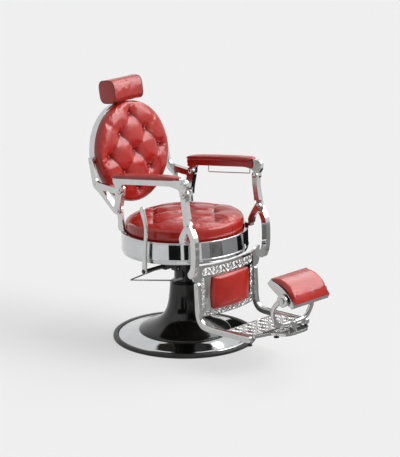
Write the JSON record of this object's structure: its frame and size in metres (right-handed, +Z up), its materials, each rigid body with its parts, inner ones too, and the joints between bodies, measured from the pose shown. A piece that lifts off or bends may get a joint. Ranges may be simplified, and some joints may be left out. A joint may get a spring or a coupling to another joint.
{
  "type": "barber chair",
  "caption": "Round barber chair with tufted leather cushions on a hydraulic column: it lifts, turns, and reclines its back, arms and legrest together.",
  "frame": {"origin": "centre of the round base, on the floor", "axes": "+Z up, -Y the way the sitter faces, +X the sitter's left"},
  "size_m": [0.6473, 1.2286, 1.1186],
  "materials": {
    "red_leather": "satin",
    "chrome": "polished",
    "polished_casting": "polished",
    "steel": "satin",
    "black_enamel": "gloss",
    "black_rubber": "matte",
    "board": "matte"
  },
  "bodies": {
    "base": {"base_rim": "black_rubber", "base_disc": "chrome", "column": "black_enamel", "column_gland": "black_enamel", "pump_cylinder": "steel"},
    "lift_ram": {"ram": "chrome", "swivel_washer": "steel"},
    "seat": {"swivel_hub": "black_enamel", "seat_pan": "board", "seat_ring": "chrome", "seat_cushion": "red_leather", "release_spring": "steel", "rear_bracket_left": "polished_casting", "rear_bracket_right": "polished_casting", "front_bracket_left": "polished_casting", "front_bracket_right": "polished_casting", "rear_bolt_left": "chrome", "rear_bolt_right": "chrome", "front_bolt_left": "chrome", "front_bolt_right": "chrome"},
    "lever": {"lever": "chrome", "lever_shaft": "black_enamel"},
    "bail": {"release_bail": "chrome"},
    "back": {"back_hoop": "chrome", "back_board": "board", "back_panel": "red_leather", "back_cushion": "red_leather", "headrest_socket": "chrome", "back_rail_left": "polished_casting", "back_rail_right": "polished_casting", "arm_rear_bolt_left": "chrome", "arm_rear_bolt_right": "chrome"},
    "headrest_stem": {"headrest_post": "chrome"},
    "headrest": {"headrest_board": "chrome", "headrest_cushion": "red_leather", "headrest_pin": "steel"},
    "arm_left": {"arm_left": "polished_casting", "arm_lining_left": "red_leather", "arm_pad_left": "red_leather", "arm_front_bolt_left": "chrome", "towel_bar": "chrome"},
    "arm_right": {"arm_right": "polished_casting", "arm_lining_right": "red_leather", "arm_pad_right": "red_leather", "arm_front_bolt_right": "chrome"},
    "legrest": {"calf_frame": "polished_casting", "calf_pad": "red_leather", "footplate": "polished_casting", "yoke": "polished_casting", "front_post_left": "polished_casting", "front_post_right": "polished_casting", "leg_rail_left": "polished_casting", "leg_rail_right": "polished_casting", "rail_bumper_left": "black_rubber", "rail_bumper_right": "black_rubber", "nose_bumper_left": "black_rubber", "nose_bumper_right": "black_rubber"},
    "foot_flap": {"pad_tray": "polished_casting", "foot_pad": "red_leather"}
  },
  "joints": [
    {"name": "lift", "type": "slide", "parent": "base", "child": "lift_ram", "axis": [0, 0, 1], "range_m": [0, 0.16]},
    {"name": "swivel", "type": "hinge", "parent": "lift_ram", "child": "seat", "pos_m": [0, 0, 0.33], "axis": [0, 0, 1], "continuous": true},
    {"name": "recline", "type": "hinge", "parent": "seat", "child": "back", "pos_m": [0, 0.1855, 0.59], "axis": [-1, 0, 0], "range_deg": [0, 32]},
    {"name": "legrest_tilt", "type": "hinge", "parent": "seat", "child": "legrest", "pos_m": [0, -0.2415, 0.6055], "axis": [-1, 0, 0], "range_deg": [0, 24]},
    {"name": "arm_left_tilt", "type": "hinge", "parent": "back", "child": "arm_left", "pos_m": [0.2275, 0.171, 0.689], "axis": [-1, 0, 0], "range_deg": [-34, 0]},
    {"name": "arm_right_tilt", "type": "hinge", "parent": "back", "child": "arm_right", "pos_m": [-0.2275, 0.171, 0.689], "axis": [-1, 0, 0], "range_deg": [-34, 0]},
    {"name": "headrest_height", "type": "slide", "parent": "back", "child": "headrest_stem", "axis": [0, 0.1736, 0.9848], "range_m": [0, 0.09]},
    {"name": "headrest_tilt", "type": "hinge", "parent": "headrest_stem", "child": "headrest", "pos_m": [0, 0.46292, 1.06321], "axis": [-1, 0, 0], "range_deg": [0, 30]},
    {"name": "foot_flap_turn", "type": "hinge", "parent": "legrest", "child": "foot_flap", "pos_m": [0, -0.697, 0.345], "axis": [1, 0, 0], "range_deg": [0, 150]},
    {"name": "lever_pull", "type": "hinge", "parent": "seat", "child": "lever", "pos_m": [-0.2, -0.048, 0.376], "axis": [-1, 0, 0], "range_deg": [0, 30], "stiffness_Nm_per_rad": 2, "springref_deg": -11.46},
    {"name": "bail_lift", "type": "hinge", "parent": "seat", "child": "bail", "pos_m": [-0.062, 0, 0.33], "axis": [0, 1, 0], "range_deg": [0, 8], "stiffness_Nm_per_rad": 1.5, "springref_deg": -11.46, "deforming": ["release_spring"]}
  ],
  "couplings": [
    {"joint": "legrest_tilt", "follows": "recline", "ratio": 0.74},
    {"joint": "arm_left_tilt", "follows": "recline", "ratio": -1.06},
    {"joint": "arm_right_tilt", "follows": "recline", "ratio": -1.06}
  ]
}
